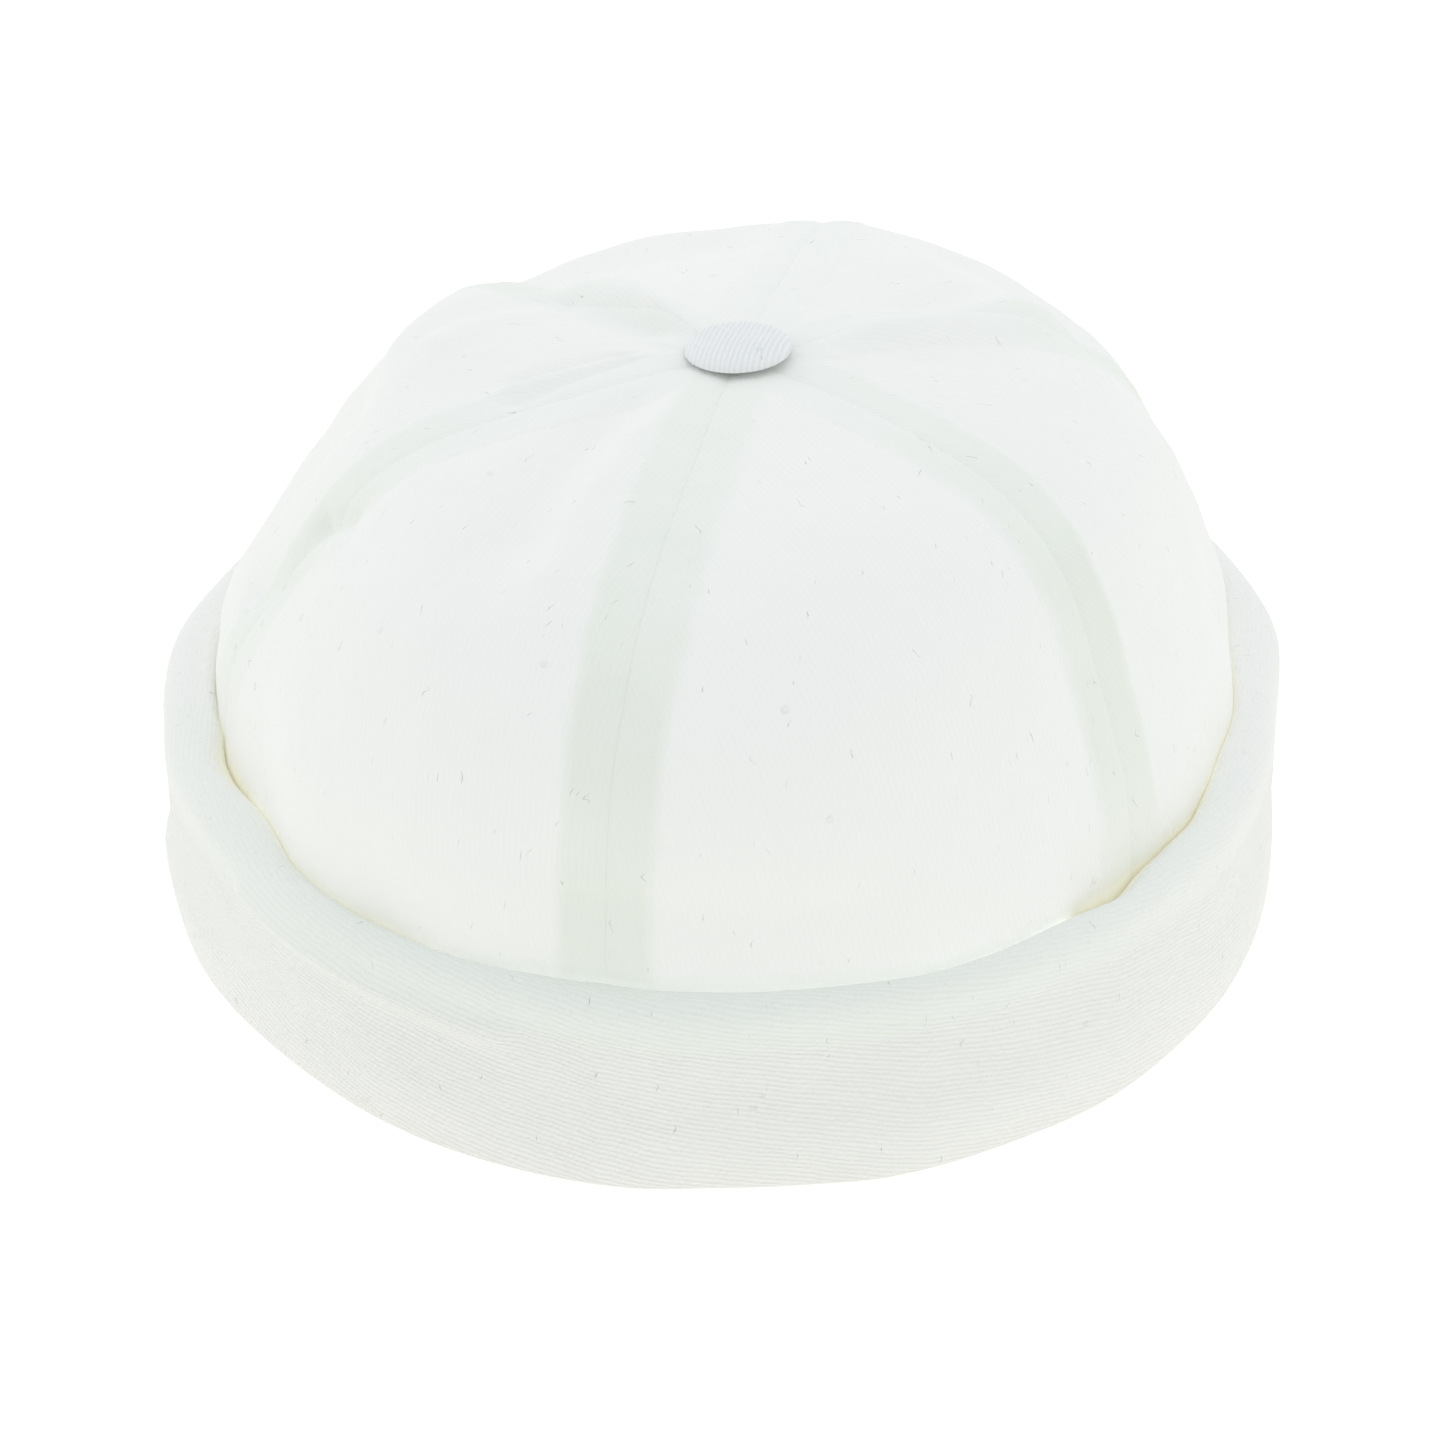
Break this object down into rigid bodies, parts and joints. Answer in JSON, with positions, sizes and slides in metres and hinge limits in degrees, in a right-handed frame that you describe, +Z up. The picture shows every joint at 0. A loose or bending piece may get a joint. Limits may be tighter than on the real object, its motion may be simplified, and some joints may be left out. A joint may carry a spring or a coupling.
{
  "type": "docker cap",
  "caption": "brimless docker cap in white cotton twill: a low rounded crown of sewn gores with a covered button on top and a wide turned-up cuff round the opening, hollow below for the head",
  "frame": {"origin": "on the table under the middle of the cuff, at the centre of the bottom of the bounding box", "axes": "+Z up with the crown on top; the seam of the centre front faces -Y and the back +Y; the wearer's left hand is at +X"},
  "size_m": [0.2018, 0.2082, 0.0975],
  "materials": {
    "crown_twill": "matte",
    "seam_cloth": "matte",
    "cuff_twill": "matte",
    "button_twill": "matte"
  },
  "bodies": {
    "root": {"crown_panel_1": "crown_twill", "seam_tape_1": "seam_cloth", "crown_panel_2": "crown_twill", "seam_tape_2": "seam_cloth", "crown_panel_3": "crown_twill", "seam_tape_3": "seam_cloth", "crown_panel_4": "crown_twill", "seam_tape_4": "seam_cloth", "crown_panel_5": "crown_twill", "seam_tape_5": "seam_cloth", "crown_panel_6": "crown_twill", "seam_tape_6": "seam_cloth", "cuff": "cuff_twill", "top_button": "button_twill"}
  },
  "joints": []
}
